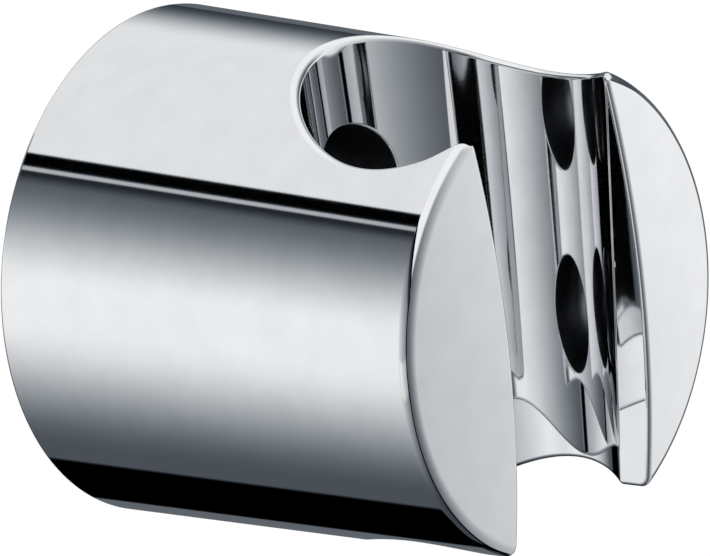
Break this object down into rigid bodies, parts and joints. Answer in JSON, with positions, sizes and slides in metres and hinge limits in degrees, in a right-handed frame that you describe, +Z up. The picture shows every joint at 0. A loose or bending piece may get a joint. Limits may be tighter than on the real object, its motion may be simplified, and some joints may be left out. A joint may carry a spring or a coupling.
{
  "type": "hand shower holder",
  "caption": "Round chrome wall holder for a hand shower: a drafted drum with a domed front, an upright conical cradle open to the front, and screw holes at its back.",
  "frame": {"origin": "centre of the wall face, on the axis of the round body", "axes": "-Y points out of the wall through the domed front, +Z is up along the cradle's axis, +X is to the right seen from the front"},
  "size_m": [0.044, 0.0453, 0.044],
  "materials": {
    "chrome_plate": "mirror polished chrome plating"
  },
  "bodies": {
    "root": {"holder_body": "chrome_plate"}
  },
  "joints": []
}
